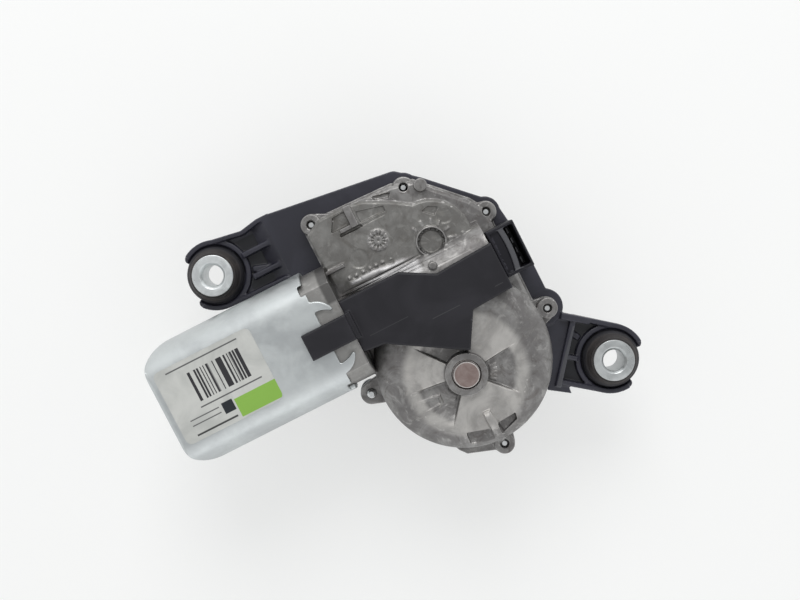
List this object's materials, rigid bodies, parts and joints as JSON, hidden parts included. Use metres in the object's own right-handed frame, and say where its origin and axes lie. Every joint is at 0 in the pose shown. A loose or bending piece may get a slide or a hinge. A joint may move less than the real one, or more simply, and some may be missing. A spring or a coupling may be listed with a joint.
{
  "type": "rear wiper motor",
  "caption": "Rear wiper gear motor: steel motor can, cast gear housing, plastic bracket on rubber-mounted sleeves, output spindle below.",
  "frame": {"origin": "on the output spindle's axis, in the plane of the panel that both mounting sleeves stand on", "axes": "+X along the armature axis from the can to the gears, +Z away from the panel towards the inside of the car; the spindle leaves towards -Z"},
  "size_m": [0.2008, 0.1485, 0.084],
  "materials": {
    "zinc_can": "zinc-plated, satin",
    "bright_zinc": "bright zinc",
    "steel": "ground",
    "axle_steel": "ground, lightly browned",
    "core_iron": "punched sheet",
    "ferrite": "matt",
    "copper": "enamelled copper",
    "bronze": "sintered, oily",
    "brass_strip": "rolled",
    "carbon": "matt",
    "casting": "die-cast, mottled",
    "black_plastic": "glass-filled, fine grain",
    "white_plastic": "natural acetal",
    "black_rubber": "matt"
  },
  "bodies": {
    "motor_unit": {"motor_can": "zinc_can", "field_magnets": "ferrite", "rear_bearing": "bronze", "bearing_retainer": "steel", "brush_holder": "black_plastic", "carbon_brushes": "carbon", "brush_springs": "steel", "gear_housing": "casting", "housing_gasket": "black_rubber", "front_bearing": "bronze", "worm_end_bush": "bronze", "thrust_button": "steel", "wheel_axle": "axle_steel", "axle_circlip": "steel", "rear_spindle_bush": "bronze", "front_spindle_bush": "bronze", "tailgate_seal": "black_rubber", "mounting_bracket": "black_plastic", "left_sleeve": "bright_zinc", "right_sleeve": "bright_zinc", "left_grommet": "black_rubber", "right_grommet": "black_rubber", "housing_screws": "bright_zinc", "wiring_cover": "black_plastic", "connector_socket": "black_plastic", "connector_terminals": "brass_strip", "park_contact_fingers": "brass_strip"},
    "armature": {"armature_shaft": "steel", "lamination_stack": "core_iron", "armature_windings": "copper", "commutator": "copper"},
    "wheel": {"worm_wheel": "white_plastic", "crank_pin": "steel", "park_contact_disc": "brass_strip"},
    "spindle": {"output_spindle": "steel", "spindle_washer": "steel", "spindle_circlip": "steel"},
    "link": {"link_plate": "steel", "sector_pivot_pin": "steel"},
    "sector": {"sector_rod": "steel"}
  },
  "joints": [
    {"name": "armature_spin", "type": "hinge", "parent": "motor_unit", "child": "armature", "pos_m": [-0.1, -0.0144, 0.0265], "axis": [1, 0, 0], "continuous": true},
    {"name": "wheel_spin", "type": "hinge", "parent": "motor_unit", "child": "wheel", "pos_m": [-0.0106, -0.0528, 0.0265], "axis": [0, 0, 1], "continuous": true},
    {"name": "spindle_sweep", "type": "hinge", "parent": "motor_unit", "child": "spindle", "pos_m": [0, 0, 0], "axis": [0, 0, 1], "range_deg": [0, 165.25]},
    {"name": "link_swing", "type": "hinge", "parent": "motor_unit", "child": "link", "pos_m": [0, 0, 0.0125], "axis": [0, 0, 1], "range_deg": [0, 60.15]},
    {"name": "sector_swing", "type": "hinge", "parent": "link", "child": "sector", "pos_m": [-0.0178, 0.00666, 0.0153], "axis": [0, 0, 1], "range_deg": [-61.38, 0]}
  ],
  "couplings": [
    {"joint": "wheel_spin", "follows": "armature_spin", "ratio": 0.016667},
    {"joint": "link_swing", "follows": "spindle_sweep", "ratio": 0.36372},
    {"joint": "sector_swing", "follows": "spindle_sweep", "ratio": -0.37116}
  ]
}
